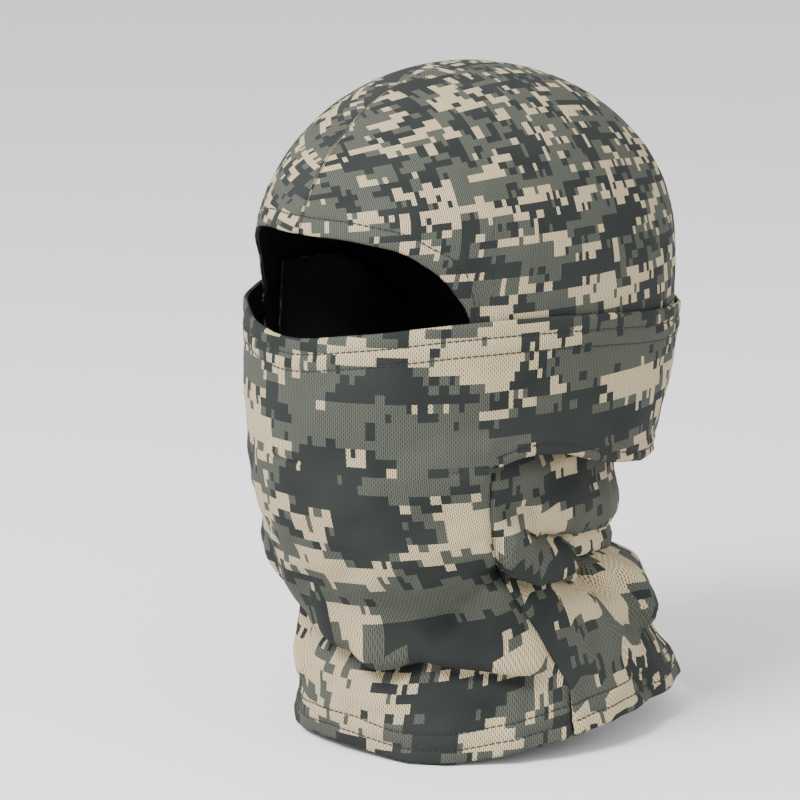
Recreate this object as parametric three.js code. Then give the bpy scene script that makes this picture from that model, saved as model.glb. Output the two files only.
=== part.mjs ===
// A pull-on camouflage face mask of thin mesh knit: a two-piece hood with a neck skirt, and over it a
// one-piece face cover whose wings run round the back of the head as a band.
// Millimetres, +Z up, the wearer looks along -Y and their left side is +X.
// The origin is the top of the wearer's head, inside the crown.
// A place on the mask is an angle round the head, in degrees from the front towards +X, and a drop below
// the crown. Every sheet of cloth is a grid of such places, given its thickness along the surface normal.
import * as THREE from "three";

// ---------------------------------------------------------------- driving dimensions
const HEAD_LENGTH = 200; // front to back over the cover, at the brow
const HEAD_BREADTH = 158; // side to side over the cover, at the brow
const DOME_HEIGHT = 80; // crown to where the head stops widening
const CROWN_TO_RIM = 102; // crown to the cover's top edge, at the nose
const COVER_DEPTH = 178; // the cover's top edge to the neck hem, at the front
const BAND_HEIGHT = 58; // the band that the wings make, at the side
const BROW_DROP = 61; // crown to the upper edge of the eye opening
const EYE_HALF_ANGLE = 48; // how far round the eye opening reaches
const SEAM_ANGLE = 54; // where the side seam starts, under the band

const CLOTH = 0.8; // the knit's thickness
const LAYER_GAP = 0.3; // between a panel and the ply turned against it
const STITCH_GAP = 0.5; // between a panel and the stitches on it
const HOOD_CLEARANCE = 0.8; // between the cover's hem and the stitches on the hood inside it
const SEAM_GAP = 0.3; // each sewn edge stops this far from its seam line
const EDGE = 0.5; // a turned ply stops this far inside the folded edge
const RIM_HEM = 14; // depth of the turned hem at the cover's top edge
const BAND_HEM = 9;
const NECK_HEM = 14;
const EYE_HEM = 11;
const THREAD = 0.4; // thickness of a stitch line
const THREAD_WIDTH = 0.7;
const NEEDLE_GAP = 6.8; // between the two lines of a twin-needle hem
const EDGE_TO_STITCH = 6.2; // from the folded edge to the first line
const EYE_STITCH = 7; // from the eye opening's edge to its line of stitches
const BAND_STITCH = 4.5;
const ALLOWANCE = 6; // width of an overlocked seam allowance, pressed flat inside
const ALLOWANCE_THICKNESS = 1.2;
const LOOSE_GAP = 0.4; // between a panel's flat facets and what lies loosely against its inside
const BARTACK = { length: 7, width: 1.6, thickness: 0.5, above: 1.8 };
const LABEL = { width: 22, height: 32, thickness: 0.4, fromSeam: 4, belowSeamTop: 30 };

// How far each sheet is divided. More divisions follow the curves more closely.
const FRONT_COLUMNS = 20;
const WING_COLUMNS = 14;
const BAND_ROWS = 4;
const NECK_ROWS = 9;
const HOOD_COLUMNS = 20;
const DOME_ROWS = 9;
const EYE_ROWS = 9;
const EYE_STATIONS = 16;

// ---------------------------------------------------------------- curves
const mix = (a, b, t) => a + (b - a) * t;
const clamp = (t) => Math.min(Math.max(t, 0), 1);
const ramp = (x, from, to) => {
  const t = clamp((x - from) / (to - from));
  return t * t * (3 - 2 * t);
};

// A smooth curve through [position, value] knots: cubic pieces that share their slopes at the knots.
function curve(knots) {
  const last = knots.length - 1;
  const slope = (i) => {
    const [x0, y0] = knots[Math.max(i - 1, 0)];
    const [x1, y1] = knots[Math.min(i + 1, last)];
    return (y1 - y0) / (x1 - x0);
  };
  return (x) => {
    if (x <= knots[0][0]) return knots[0][1];
    if (x >= knots[last][0]) return knots[last][1];
    const i = knots.findIndex((knot) => knot[0] > x) - 1;
    const [x0, y0] = knots[i];
    const [x1, y1] = knots[i + 1];
    const width = x1 - x0;
    const t = (x - x0) / width;
    const bend = slope(i) * (1 - t) - slope(i + 1) * t;
    return y0 + (y1 - y0) * ramp(t, 0, 1) + width * t * (1 - t) * bend;
  };
}

// A curve round the head, level where it crosses the face's middle and the middle of the back.
function aroundHead(knots) {
  const [, second] = knots;
  const beforeLast = knots[knots.length - 2];
  return curve([[-second[0], second[1]], ...knots, [360 - beforeLast[0], beforeLast[1]]]);
}

// Row positions from top to bottom, with a first and a last row of set depth where they are given.
function spread(top, bottom, count, first, last) {
  const from = first === undefined ? 0 : 1;
  const to = last === undefined ? count : count - 1;
  const upper = top + (first ?? 0);
  const lower = bottom - (last ?? 0);
  const between = (i) => mix(upper, lower, (i - from) / (to - from));
  return Array.from({ length: count + 1 }, (_, i) => (i < from ? top : i > to ? bottom : between(i)));
}

// ---------------------------------------------------------------- the form under the cloth
const seamTopDrop = CROWN_TO_RIM - 6 + BAND_HEIGHT;
const frontHemDrop = CROWN_TO_RIM + COVER_DEPTH;
const chinDrop = mix(CROWN_TO_RIM, frontHemDrop, 0.6);

// Reach of the cover in each direction, as a share of half the head's length or breadth, at the crown's
// widest level, brow, mouth, jaw, chin, throat, neck and hem.
const levels = [
  DOME_HEIGHT,
  CROWN_TO_RIM,
  mix(CROWN_TO_RIM, chinDrop, 0.25),
  mix(CROWN_TO_RIM, chinDrop, 0.55),
  mix(CROWN_TO_RIM, chinDrop, 0.88),
  mix(chinDrop, frontHemDrop, 0.2),
  mix(chinDrop, frontHemDrop, 0.55),
  frontHemDrop,
];
const shares = {
  front: [0.97, 0.98, 1.0, 0.99, 0.9, 0.69, 0.7, 0.72],
  back: [1.03, 1.01, 0.99, 0.9, 0.79, 0.78, 0.87, 0.99],
  side: [0.99, 1.0, 1.0, 0.98, 0.92, 0.89, 0.95, 1.05],
  centre: [0.0, 0.0, 0.0, 0.0, 0.03, 0.1, 0.12, 0.12],
};
const along = (name, half) => curve(levels.map((drop, i) => [drop, shares[name][i] * half]));
const frontReach = along("front", HEAD_LENGTH / 2);
const backReach = along("back", HEAD_LENGTH / 2);
const sideReach = along("side", HEAD_BREADTH / 2);
const centreShift = along("centre", HEAD_LENGTH / 2);
const FRONT_POWER = 2.0; // roundness of the section: 2 is an ellipse, more is squarer
const BACK_POWER = 2.2;

// How far a facet of the hood lies inside the round form, at its widest. At the brow, where facets are
// tall as well as wide, it is several times that.
const DIP_ALLOWANCE = 4.5;
const facetDip = (Math.max(HEAD_LENGTH, HEAD_BREADTH) / 2) * (1 - Math.cos(Math.PI / HOOD_COLUMNS / 2));
const looseGap = LOOSE_GAP + DIP_ALLOWANCE * facetDip;

// The dome over the brow is part of an ellipse.
const dome = (drop) => (drop >= DOME_HEIGHT ? 1 : Math.sqrt(Math.max(0, 1 - (1 - drop / DOME_HEIGHT) ** 2)));

function coverRadius(angle, drop) {
  const c = Math.cos((angle * Math.PI) / 180);
  const s = Math.abs(Math.sin((angle * Math.PI) / 180));
  const shift = centreShift(drop);
  const reach = c > 0 ? frontReach(drop) + shift : backReach(drop) - shift;
  const power = c > 0 ? FRONT_POWER : BACK_POWER;
  return dome(drop) * ((Math.abs(c) / reach) ** power + (s / sideReach(drop)) ** power) ** (-1 / power);
}

function place(angle, drop, radius) {
  const a = (angle * Math.PI) / 180;
  return new THREE.Vector3(radius * Math.sin(a), centreShift(drop) - radius * Math.cos(a), CLOTH / 2 - drop);
}

// A length along the cloth, as degrees round the head at that place.
const degrees = (length, angle, drop) => (length / coverRadius(angle, drop)) * (180 / Math.PI);

// ---------------------------------------------------------------- edges and seams
const rimDrop = aroundHead([
  [0, CROWN_TO_RIM],
  [20, CROWN_TO_RIM - 4],
  [45, CROWN_TO_RIM - 8],
  [70, CROWN_TO_RIM - 9],
  [90, CROWN_TO_RIM - 7],
  [125, CROWN_TO_RIM - 1],
  [180, CROWN_TO_RIM + 3],
]);
const bandDrop = aroundHead([
  [SEAM_ANGLE, seamTopDrop],
  [SEAM_ANGLE + 12, seamTopDrop - 3],
  [SEAM_ANGLE + 24, seamTopDrop - 3],
  [93, seamTopDrop + 4],
  [115, seamTopDrop + 10],
  [180, seamTopDrop + 16],
]);
const hemDrop = aroundHead([
  [0, frontHemDrop - 2],
  [34, frontHemDrop + 1],
  [61, frontHemDrop - 5],
  [90, frontHemDrop - 11],
  [133, frontHemDrop - 11],
  [180, frontHemDrop - 9],
]);
const seamEndAngle = SEAM_ANGLE + 19;
const jawDrop = frontHemDrop - 67; // where the side seam starts to slant back
const seamAngle = curve([
  [seamTopDrop, SEAM_ANGLE],
  [seamTopDrop + 30, SEAM_ANGLE],
  [jawDrop, SEAM_ANGLE + 5],
  [mix(jawDrop, frontHemDrop, 0.35), SEAM_ANGLE + 11],
  [mix(jawDrop, frontHemDrop, 0.7), SEAM_ANGLE + 18],
  [frontHemDrop, seamEndAngle],
]);
// The hood's free edge, from the middle of the brow round the eye and down under the cover to the seam.
// Its angles are held as lengths round the head, so that its stations are evenly spaced.
const perDegree = ((HEAD_LENGTH / 2) * Math.PI) / 180;
const eyeEdge = new THREE.CatmullRomCurve3(
  [
    [0, BROW_DROP],
    [0.38 * EYE_HALF_ANGLE, BROW_DROP + 1],
    [0.7 * EYE_HALF_ANGLE, BROW_DROP + 8],
    [0.9 * EYE_HALF_ANGLE, BROW_DROP + 20],
    [EYE_HALF_ANGLE, CROWN_TO_RIM - 7],
    [EYE_HALF_ANGLE + 3, CROWN_TO_RIM + 16],
    [SEAM_ANGLE, seamTopDrop],
  ].map(([angle, drop]) => new THREE.Vector3(angle * perDegree, drop, 0)),
  false,
  "centripetal",
);

// How far the hood lies inside the cover's form. It is pulled in under the band and behind the neck, and
// meets the form along the side seams and at the hem.
const UNDER_BAND = 4;
const NECK_PULL = 11;
const atRim = 2 * CLOTH + LAYER_GAP + STITCH_GAP + THREAD + HOOD_CLEARANCE;
function hoodInset(angle, drop) {
  const pull = NECK_PULL * (1 - ramp(drop, jawDrop - 15, jawDrop + 25));
  const neck = pull * ramp(angle, seamAngle(drop) + 2, seamAngle(drop) + 30);
  const nearNeck = 0.5 * pull * ramp(drop, seamTopDrop - 25, seamTopDrop + 10) * ramp(angle, 70, 100);
  const underBand = atRim + UNDER_BAND * ramp(drop, CROWN_TO_RIM, seamTopDrop) + nearNeck;
  return mix(underBand, neck, ramp(drop, seamTopDrop - 2, seamTopDrop + 12));
}

const onCover = (angle, drop) => place(angle, drop, coverRadius(angle, drop));
const onHood = (angle, drop) => {
  const point = place(angle, drop, coverRadius(angle, drop) - hoodInset(angle, drop) * dome(drop));
  point.x += SEAM_GAP;
  return point;
};

// ---------------------------------------------------------------- sheets and tapes
const MERGE = 1e-3;

// Outward normal of a surface given as a function of angle and drop.
function normalAt(surface, angle, drop) {
  const step = 0.5;
  const low = Math.max(drop, 2 * step);
  const across = surface(angle + step, low).sub(surface(angle - step, low));
  const down = surface(angle, low + step).sub(surface(angle, low - step));
  return down.cross(across).normalize();
}

function geometryOf(points, index) {
  const geometry = new THREE.BufferGeometry().setFromPoints(points);
  geometry.setIndex(index);
  return geometry;
}

// A sheet of cloth: a grid of [angle, drop] places on a surface, thickened along the normals. Places that
// fall together are merged, and every free edge gets a wall.
class Sheet {
  constructor(surface) {
    this.surface = surface;
    this.points = [];
    this.normals = [];
    this.found = new Map();
    this.faces = [];
  }

  vertex([angle, drop]) {
    const point = this.surface(angle, drop);
    const key = point.toArray().map((v) => Math.round(v / MERGE)).join();
    if (!this.found.has(key)) {
      this.found.set(key, this.points.length);
      this.points.push(point);
      this.normals.push(normalAt(this.surface, angle, drop));
    }
    return this.found.get(key);
  }

  // Rows run down and columns run towards +X, so that the faces point outwards.
  patch(rows, columns, at) {
    for (let i = 0; i < rows; i += 1) {
      for (let j = 0; j < columns; j += 1) {
        const a = this.vertex(at(i, j));
        const b = this.vertex(at(i + 1, j));
        const c = this.vertex(at(i + 1, j + 1));
        const d = this.vertex(at(i, j + 1));
        this.triangle(a, b, c);
        this.triangle(a, c, d);
      }
    }
    return this;
  }

  triangle(a, b, c) {
    if (a !== b && b !== c && c !== a) this.faces.push([a, b, c]);
  }

  solid(outer, inner) {
    const count = this.points.length;
    const shifted = (offset) => this.points.map((p, i) => p.clone().addScaledVector(this.normals[i], offset));
    const index = [];
    const open = new Map();
    for (const [a, b, c] of this.faces) {
      index.push(a, b, c, a + count, c + count, b + count);
      for (const [from, to] of [[a, b], [b, c], [c, a]]) {
        if (!open.delete(`${to},${from}`)) open.set(`${from},${to}`, [from, to]);
      }
    }
    for (const [from, to] of open.values()) {
      index.push(from, from + count, to + count, from, to + count, to);
    }
    return geometryOf([...shifted(outer), ...shifted(inner)], index);
  }
}

// A flat tape that follows [angle, drop] places on a surface, between two heights over it.
function tape(surface, places, width, top, bottom, closed = false) {
  const count = places.length;
  const points = places.map(([angle, drop]) => surface(angle, drop));
  const near = (i) => points[closed ? (i + count) % count : Math.min(Math.max(i, 0), count - 1)];
  const corners = places.flatMap(([angle, drop], i) => {
    const normal = normalAt(surface, angle, drop);
    const side = near(i + 1).clone().sub(near(i - 1)).cross(normal).setLength(width / 2);
    const corner = (height, way) => points[i].clone().addScaledVector(normal, height).addScaledVector(side, way);
    return [corner(top, 1), corner(top, -1), corner(bottom, -1), corner(bottom, 1)];
  });
  const index = [];
  for (let i = 0; i < (closed ? count : count - 1); i += 1) {
    for (let k = 0; k < 4; k += 1) {
      const [a, b] = [4 * i + k, 4 * i + ((k + 1) % 4)];
      const [c, d] = [(a + 4) % (4 * count), (b + 4) % (4 * count)];
      index.push(a, d, b, a, c, d);
    }
  }
  const end = 4 * (count - 1);
  if (!closed) index.push(0, 1, 2, 0, 2, 3, end, end + 2, end + 1, end, end + 3, end + 2);
  return geometryOf(corners, index);
}

// Mirrors a geometry to the wearer's other side and turns its faces back outwards.
function mirrored(geometry) {
  const copy = geometry.clone().scale(-1, 1, 1);
  const order = Array.from(copy.index.array);
  for (let i = 0; i < order.length; i += 3) [order[i + 1], order[i + 2]] = [order[i + 2], order[i + 1]];
  return copy.setIndex(order);
}

// ---------------------------------------------------------------- materials
const cloth = (colour, roughness) => new THREE.MeshStandardMaterial({ color: colour, roughness, metalness: 0 });
const printedKnit = cloth(0x6c736b, 0.8);
const innerKnit = cloth(0x2b2d2d, 0.9);
const stitchThread = cloth(0x23282a, 0.6);
const overlockThread = cloth(0x3a3e3e, 0.8);
const satinLabel = cloth(0xd8d8d2, 0.5);

const mask = new THREE.Group();
function add(name, geometry, material) {
  const mesh = new THREE.Mesh(geometry, material);
  mesh.name = name;
  mask.add(mesh);
}
function addPair(name, geometry, material) {
  add(`${name}_left`, geometry, material);
  add(`${name}_right`, mirrored(geometry), material);
}

// ---------------------------------------------------------------- face cover
const HALF = CLOTH / 2;
const ply = (gap) => [-HALF - gap, -HALF - gap - CLOTH]; // a turned ply against a panel's inside
const stitched = [HALF + STITCH_GAP + THREAD, HALF + STITCH_GAP]; // a thread on a panel's outside
const pressed = [-HALF - looseGap, -HALF - looseGap - ALLOWANCE_THICKNESS];

const seamGap = (angle, drop) => degrees(SEAM_GAP, angle, drop);
const wingEnd = 180 - seamGap(180, CROWN_TO_RIM);
const wingAngle = (j) => mix(SEAM_ANGLE, wingEnd, j / WING_COLUMNS);

// The rows of the front along its side: down the band, where the wings leave it, then down the seam.
const bandRows = (angle) => spread(rimDrop(angle), bandDrop(angle), BAND_ROWS, RIM_HEM, BAND_HEM);
const neckRows = spread(seamTopDrop, hemDrop(seamEndAngle), NECK_ROWS, undefined, NECK_HEM);
const sideRows = [...bandRows(SEAM_ANGLE), ...neckRows.slice(1)];
const rowCount = sideRows.length - 1;

function frontPlace(i, j) {
  const drop = sideRows[i];
  const edge = i <= BAND_ROWS ? SEAM_ANGLE : seamAngle(drop) - seamGap(SEAM_ANGLE, drop);
  const angle = edge * mix(-1, 1, j / FRONT_COLUMNS);
  const share = clamp((drop - sideRows[1]) / (sideRows[rowCount - 1] - sideRows[1]));
  const rise = (border) => border(Math.abs(angle)) - border(edge);
  return [angle, drop + mix(rise(rimDrop), rise(hemDrop), share)];
}

const facePanel = new Sheet(onCover);
facePanel.patch(rowCount, FRONT_COLUMNS, frontPlace);
facePanel.patch(BAND_ROWS, WING_COLUMNS, (i, j) => [wingAngle(j), bandRows(wingAngle(j))[i]]);
facePanel.patch(BAND_ROWS, WING_COLUMNS, (i, j) => {
  const angle = wingAngle(WING_COLUMNS - j);
  return [-angle, bandRows(angle)[i]];
});
add("face_panel", facePanel.solid(HALF, -HALF), printedKnit);

// Places round the rim that fall on the panel's own columns, at a distance under the edge.
const wingAngles = Array.from({ length: WING_COLUMNS + 1 }, (_, j) => wingAngle(j));
const frontAngles = Array.from({ length: FRONT_COLUMNS - 1 }, (_, j) => frontPlace(0, j + 1)[0]);
const rimAngles = [...wingAngles.map((angle) => -angle).reverse(), ...frontAngles, ...wingAngles];
const underRim = (below) => rimAngles.map((angle) => [angle, rimDrop(Math.abs(angle)) + below]);

// A band of cloth between two lists of places, the upper one first.
const strip = (surface, upper, lower) =>
  new Sheet(surface).patch(1, upper.length - 1, (i, j) => (i === 0 ? upper : lower)[j]);

add("rim_hem_ply", strip(onCover, underRim(EDGE), underRim(RIM_HEM - EDGE)).solid(...ply(LAYER_GAP)), innerKnit);
add("rim_stitch_upper", tape(onCover, underRim(EDGE_TO_STITCH), THREAD_WIDTH, ...stitched), stitchThread);
add(
  "rim_stitch_lower",
  tape(onCover, underRim(EDGE_TO_STITCH + NEEDLE_GAP), THREAD_WIDTH, ...stitched),
  stitchThread,
);

const overBand = (above) => wingAngles.slice(1).map((angle) => [angle, bandDrop(angle) - above]);
addPair(
  "band_hem_ply",
  strip(onCover, overBand(BAND_HEM - EDGE), overBand(EDGE)).solid(...ply(LAYER_GAP)),
  innerKnit,
);
addPair("band_stitch", tape(onCover, overBand(BAND_STITCH), THREAD_WIDTH, ...stitched), stitchThread);

const backBandRows = bandRows(180).slice(1, BAND_ROWS);
backBandRows[0] += EDGE;
backBandRows[backBandRows.length - 1] -= EDGE;
add(
  "band_join_overlock",
  tape(onCover, backBandRows.map((drop) => [180, drop]), ALLOWANCE, ...pressed),
  overlockThread,
);

// ---------------------------------------------------------------- hood with its neck skirt
const hoodRowCount = DOME_ROWS + EYE_ROWS + NECK_ROWS;
const backRows = spread(BROW_DROP, hemDrop(180), EYE_ROWS + NECK_ROWS, undefined, NECK_HEM);
const domeTilt = Math.acos(1 - BROW_DROP / DOME_HEIGHT);
const domeDrop = (i) => DOME_HEIGHT * (1 - Math.cos((domeTilt * i) / DOME_ROWS));

// Where a row starts, at the panel's front edge.
function hoodEdge(i) {
  if (i <= DOME_ROWS) return [0, domeDrop(i)];
  if (i <= DOME_ROWS + EYE_ROWS) {
    const point = eyeEdge.getPointAt((i - DOME_ROWS) / EYE_ROWS);
    return [point.x / perDegree, point.y];
  }
  const drop = neckRows[i - DOME_ROWS - EYE_ROWS];
  return [seamAngle(drop) + seamGap(SEAM_ANGLE, drop), drop];
}
const hoodBack = (i) => (i <= DOME_ROWS ? domeDrop(i) : backRows[i - DOME_ROWS]);

const HEM_WAVE_ROWS = 5; // rows over which the hem's rise and fall fades out upwards
function hoodPlace(i, j) {
  const [edgeAngle, edgeDrop] = hoodEdge(i);
  const u = j / HOOD_COLUMNS;
  const angle = mix(edgeAngle, 180, u);
  const wave = hemDrop(angle) - mix(hemDrop(edgeAngle), hemDrop(180), u);
  const share = ramp(i, hoodRowCount - 1 - HEM_WAVE_ROWS, hoodRowCount - 1);
  return [angle, mix(edgeDrop, hoodBack(i), u) + wave * share];
}
addPair("hood_panel", new Sheet(onHood).patch(hoodRowCount, HOOD_COLUMNS, hoodPlace).solid(HALF, -HALF), printedKnit);

// Places beside the eye opening's edge, at a distance in from it.
function besideEye(inward) {
  return Array.from({ length: EYE_STATIONS + 1 }, (_, i) => {
    const t = i / EYE_STATIONS;
    const point = eyeEdge.getPointAt(t);
    const heading = eyeEdge.getTangentAt(t);
    const angle = (point.x + heading.y * inward) / perDegree;
    return [i === 0 ? 0 : angle, point.y - heading.x * inward];
  });
}
addPair("eye_hem_ply", strip(onHood, besideEye(EYE_HEM), besideEye(EDGE)).solid(...ply(looseGap)), innerKnit);
const eyeLine = besideEye(EYE_STITCH);
eyeLine[0][0] = degrees(SEAM_GAP, 0, BROW_DROP);
addPair("eye_stitch", tape(onHood, eyeLine, THREAD_WIDTH, ...stitched), stitchThread);

// ---------------------------------------------------------------- neck hem
const frontHem = Array.from({ length: FRONT_COLUMNS - 1 }, (_, j) => frontPlace(rowCount, j + 1)[0]);
const backHem = Array.from({ length: HOOD_COLUMNS }, (_, j) => hoodPlace(hoodRowCount, j)[0]);
const hemAngles = [...backHem.map((angle) => -angle).reverse(), ...frontHem, ...backHem, 180];
const overHem = (above) => hemAngles.map((angle) => [angle, hemDrop(Math.abs(angle)) - above]);
const closedHem = (above) => [[-180, hemDrop(180) - above], ...overHem(above)];

add("neck_hem_ply", strip(onCover, closedHem(NECK_HEM - EDGE), closedHem(EDGE)).solid(...ply(LAYER_GAP)), innerKnit);
add("neck_stitch_lower", tape(onCover, overHem(EDGE_TO_STITCH), THREAD_WIDTH, ...stitched, true), stitchThread);
add(
  "neck_stitch_upper",
  tape(onCover, overHem(EDGE_TO_STITCH + NEEDLE_GAP), THREAD_WIDTH, ...stitched, true),
  stitchThread,
);

// ---------------------------------------------------------------- seam allowances, bartacks and label
const onMiddle = (angle, drop) => {
  const point = onHood(angle, drop);
  point.x -= SEAM_GAP;
  return point;
};
const overCrown = Array.from({ length: DOME_ROWS }, (_, i) => [0, domeDrop(DOME_ROWS - 1 - i)]);
const downBack = Array.from({ length: hoodRowCount - 1 }, (_, i) => [180, hoodBack(i + 1)]);
add("crown_seam_overlock", tape(onMiddle, [...overCrown, ...downBack], ALLOWANCE, ...pressed), overlockThread);

const besideSeam = neckRows.slice(1, NECK_ROWS).map((drop) => [seamAngle(drop), drop]);
addPair("side_seam_overlock", tape(onCover, besideSeam, ALLOWANCE, ...pressed), overlockThread);

const tackDrop = seamTopDrop - BARTACK.above;
const tackHalf = degrees(BARTACK.length / 2, SEAM_ANGLE, tackDrop);
addPair(
  "seam_bartack",
  tape(
    onCover,
    [-1, 0, 1].map((way) => [SEAM_ANGLE + way * tackHalf, tackDrop]),
    BARTACK.width,
    HALF + STITCH_GAP + BARTACK.thickness,
    HALF + STITCH_GAP,
  ),
  stitchThread,
);

const LABEL_STEPS = 6;
const labelTop = seamTopDrop + LABEL.belowSeamTop;
const labelHeight = -HALF - looseGap - ALLOWANCE_THICKNESS - 3 * LAYER_GAP; // it lies over the allowance
const label = new Sheet(onHood).patch(LABEL_STEPS, LABEL_STEPS, (i, j) => {
  const drop = labelTop + (LABEL.height * i) / LABEL_STEPS;
  const across = LABEL.fromSeam + (LABEL.width * j) / LABEL_STEPS;
  return [seamAngle(drop) + degrees(across, SEAM_ANGLE, drop), drop];
});
add("care_label", label.solid(labelHeight, labelHeight - LABEL.thickness), satinLabel);

export default mask;
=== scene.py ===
# %% [markdown]
# # A camouflage face mask of thin mesh knit
# The mask is a two-panel hood with a long neck skirt, and over it a one-piece face cover. The cover's two
# wings run round the back of the head as a band, and below the chin the cover is sewn to the skirt down
# both sides. Everything here is cloth and thread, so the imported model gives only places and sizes, and
# each of its plain sheets is replaced by a finer one with folds, hems, stitches and a printed finish.

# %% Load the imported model
import math

import bpy
import numpy as np
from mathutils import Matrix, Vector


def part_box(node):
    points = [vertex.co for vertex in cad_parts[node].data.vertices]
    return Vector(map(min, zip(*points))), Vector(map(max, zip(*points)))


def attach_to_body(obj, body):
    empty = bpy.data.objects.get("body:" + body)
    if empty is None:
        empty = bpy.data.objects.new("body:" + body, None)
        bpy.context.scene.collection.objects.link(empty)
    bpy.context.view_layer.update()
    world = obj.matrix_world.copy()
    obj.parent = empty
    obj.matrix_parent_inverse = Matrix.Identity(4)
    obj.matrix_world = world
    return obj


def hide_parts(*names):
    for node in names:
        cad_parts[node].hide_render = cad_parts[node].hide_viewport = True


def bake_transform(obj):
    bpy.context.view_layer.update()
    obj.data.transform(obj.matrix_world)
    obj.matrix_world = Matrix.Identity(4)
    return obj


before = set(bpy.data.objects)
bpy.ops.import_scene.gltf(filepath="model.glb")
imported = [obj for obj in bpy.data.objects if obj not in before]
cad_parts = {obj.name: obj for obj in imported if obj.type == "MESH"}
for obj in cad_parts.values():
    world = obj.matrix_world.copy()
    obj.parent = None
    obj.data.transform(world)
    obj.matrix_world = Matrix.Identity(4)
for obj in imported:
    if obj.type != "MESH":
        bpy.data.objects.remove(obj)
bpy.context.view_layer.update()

MM = 0.001  # sizes below are written in millimetres

# %% [markdown]
# ## The camera
# A long lens from a little above eye level, off the wearer's left cheek. A long lens keeps the near and
# the far side of the mask almost the same size, which is how product pictures of headwear are taken. The
# lens shift slides the picture without turning the camera, so that upright edges stay upright.

# %% Camera
LENS_DISTANCE = 1.5
LENS_AZIMUTH = math.radians(45)
LENS_ELEVATION = math.radians(13)
aim = np.array([0, 0, -0.150])
towards = np.array([
    math.sin(LENS_AZIMUTH) * math.cos(LENS_ELEVATION),
    -math.cos(LENS_AZIMUTH) * math.cos(LENS_ELEVATION),
    math.sin(LENS_ELEVATION),
])
lens = bpy.data.cameras.new("product_lens")
lens.sensor_width = 36
lens.lens = 159.3
lens.shift_x = -0.075
lens.shift_y = 0.019
camera = bpy.data.objects.new("product_camera", lens)
bpy.context.scene.collection.objects.link(camera)
camera.location = aim + LENS_DISTANCE * towards
camera.rotation_euler = (math.pi / 2 - LENS_ELEVATION, 0, LENS_AZIMUTH)
bpy.context.scene.camera = camera
print("camera at", [round(v, 3) for v in camera.location])

# %% [markdown]
# ## The form under the cloth
# A place on the mask is an angle round the head, in degrees from the face towards the wearer's left, and
# a drop below the crown. The head and neck are a stack of rounded sections, and smooth curves through a
# few given levels give each section's reach to the front, the back and the side. The overall size
# comes from the imported model, so the cloth always fits it.

# %% Curves and ramps
def ramp(x, start, end):
    """Rises smoothly from 0 at start to 1 at end."""
    t = np.clip((x - start) / (end - start), 0, 1)
    return t * t * (3 - 2 * t)


def mix(a, b, share):
    return a + (b - a) * share


def curve(knots):
    """A smooth curve through (position, value) knots, level beyond both ends."""
    x, y = (np.array(column, float) for column in zip(*knots))
    slope = np.gradient(y, x)

    def value(at):
        at = np.clip(at, x[0], x[-1])
        i = np.clip(np.searchsorted(x, at, side="right") - 1, 0, len(x) - 2)
        width = x[i + 1] - x[i]
        t = (at - x[i]) / width
        bend = slope[i] * (1 - t) - slope[i + 1] * t
        return mix(y[i], y[i + 1], t * t * (3 - 2 * t)) + width * t * (1 - t) * bend

    return value


def around_head(knots):
    """A curve round the head that crosses the face's middle and the back's middle level."""
    (first, first_value), (last, last_value) = knots[1], knots[-2]
    return curve([(-first, first_value), *knots, (360 - last, last_value)])


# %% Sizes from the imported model
cover_low, cover_high = (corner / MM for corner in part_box("face_panel"))
CLOTH = 0.8
HALF_LENGTH = -cover_low.y - CLOTH / 2
HALF_BREADTH = cover_high.x - CLOTH / 2
RIM = 9.4 - cover_high.z  # the cover's top edge at the nose lies this far below the crown
HEM = -cover_low.z - 0.6  # the neck hem, under the chin
SEAM_TOP = RIM - 6 + 58  # where the band's lower edge meets the side seam
SEAM_ANGLE = 54
BROW = RIM - 41
DOME = 80  # from the crown to where the head stops widening
print("half length", round(HALF_LENGTH, 1), "half breadth", round(HALF_BREADTH, 1), "rim", round(RIM, 1))

# %% Sections of the head and neck
LEVELS = [DOME, RIM, 130, 165, 200, 225, 250, 280]
SHARES = {
    "front": [0.97, 0.985, 1.0, 0.99, 0.88, 0.70, 0.71, 0.73],
    "back": [1.03, 1.01, 0.965, 0.82, 0.77, 0.80, 0.90, 1.03],
    "side": [0.985, 1.0, 0.995, 0.955, 0.915, 0.89, 0.96, 1.07],
    "centre": [0.0, 0.0, 0.0, 0.0, 0.03, 0.10, 0.12, 0.12],
}


def reach(name, half):
    return curve([(level, share * half) for level, share in zip(LEVELS, SHARES[name])])


front_reach, back_reach = reach("front", HALF_LENGTH), reach("back", HALF_LENGTH)
side_reach, centre_shift = reach("side", HALF_BREADTH), reach("centre", HALF_LENGTH)


def form_radius(angle, drop):
    c, s = np.cos(np.radians(angle)), np.abs(np.sin(np.radians(angle)))
    shift = centre_shift(drop)
    ahead = np.where(c > 0, front_reach(drop) + shift, back_reach(drop) - shift)
    power = np.where(c > 0, 2.0, 2.2)
    dome = np.sqrt(np.clip(1 - (1 - np.minimum(drop, DOME) / DOME) ** 2, 0, 1))
    narrower = 0.06 * ramp(drop, 165, 205) + 0.08 * ramp(drop, 232, 272)
    leaning = 1 - narrower * (np.asarray(angle) < 0)  # the skirt hangs a little to the left
    beside = side_reach(drop) * leaning
    return dome * ((np.abs(c) / ahead) ** power + (s / beside) ** power) ** (-1 / power)


def on_form(angle, drop, inset=0.0):
    """Points on the form, or a set distance inside it."""
    radius = form_radius(angle, drop) - inset
    turn = np.radians(angle)
    y = centre_shift(drop) - radius * np.cos(turn)
    return np.stack([radius * np.sin(turn), y, CLOTH / 2 - drop + 0 * radius], -1)


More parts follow.
